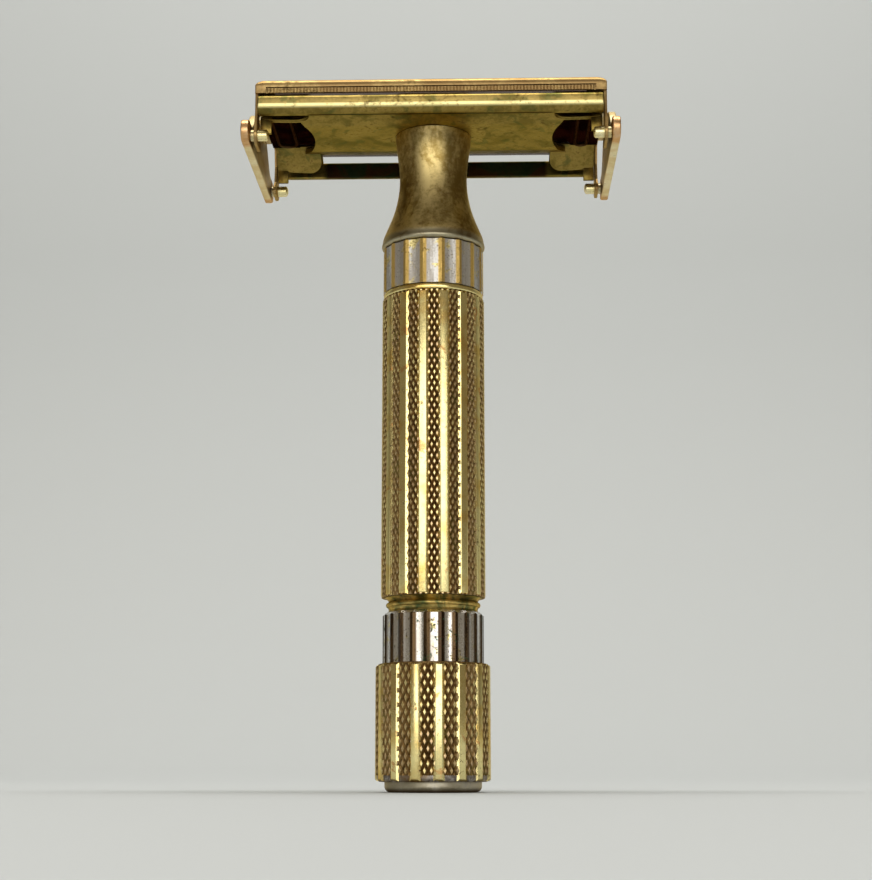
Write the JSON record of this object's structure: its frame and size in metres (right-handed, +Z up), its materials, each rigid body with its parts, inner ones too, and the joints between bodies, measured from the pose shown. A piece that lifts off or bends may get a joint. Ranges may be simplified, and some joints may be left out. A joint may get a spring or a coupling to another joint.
{
  "type": "double-edge safety razor",
  "caption": "Gold-plated twist-to-open double-edge safety razor: turning the knurled knob lifts the blade bed and swings the head's doors open.",
  "frame": {"origin": "centre of the knob's flat base, which the razor stands on", "axes": "+Z up the handle to the head, +X along the length of the head and blade, -Y towards the front door"},
  "size_m": [0.045, 0.0252, 0.0858],
  "materials": {
    "gold_plate": "worn gold plating over brass",
    "worn_plate": "gold plating rubbed through to pale nickel",
    "bare_brass": "unplated brass",
    "steel": "bright steel"
  },
  "bodies": {
    "handle": {"lower_fluted_ring": "worn_plate", "lower_bead_ring": "gold_plate", "thrust_washer": "steel", "core_tube": "bare_brass", "handle_barrel": "gold_plate", "upper_trim_ring": "gold_plate", "upper_fluted_collar": "worn_plate", "neck_bush": "bare_brass", "bell_neck": "gold_plate", "guard_frame": "gold_plate"},
    "knob": {"knob_base_disc": "gold_plate", "knob_shell": "gold_plate", "knob_stem": "bare_brass", "retaining_clip": "steel"},
    "lifter": {"spindle_rod": "bare_brass", "blade_bed": "gold_plate", "razor_blade": "steel", "end_plate_left": "gold_plate", "end_plate_right": "gold_plate", "door_spring_left": "steel", "door_spring_right": "steel", "pivot_pin_front_left": "bare_brass", "pivot_pin_rear_left": "bare_brass", "pivot_pin_front_right": "bare_brass", "pivot_pin_rear_right": "bare_brass"},
    "front_door": {"door_front": "gold_plate"},
    "rear_door": {"door_rear": "gold_plate"}
  },
  "joints": [
    {"name": "knob_turn", "type": "hinge", "parent": "handle", "child": "knob", "pos_m": [0, 0, 0.008], "axis": [0, 0, 1], "range_deg": [0, 540]},
    {"name": "lifter_rise", "type": "slide", "parent": "handle", "child": "lifter", "axis": [0, 0, 1], "range_m": [0, 0.003]},
    {"name": "front_door_swing", "type": "hinge", "parent": "lifter", "child": "front_door", "pos_m": [0, -0.01035, 0.0773], "axis": [1, 0, 0], "range_deg": [0, 98]},
    {"name": "rear_door_swing", "type": "hinge", "parent": "lifter", "child": "rear_door", "pos_m": [0, 0.01035, 0.0773], "axis": [-1, 0, 0], "range_deg": [0, 98]}
  ],
  "couplings": [
    {"joint": "knob_turn", "follows": "lifter_rise", "rad_per_m": 3141.5},
    {"joint": "front_door_swing", "follows": "lifter_rise", "rad_per_m": 570.1},
    {"joint": "rear_door_swing", "follows": "lifter_rise", "rad_per_m": 570.1}
  ]
}
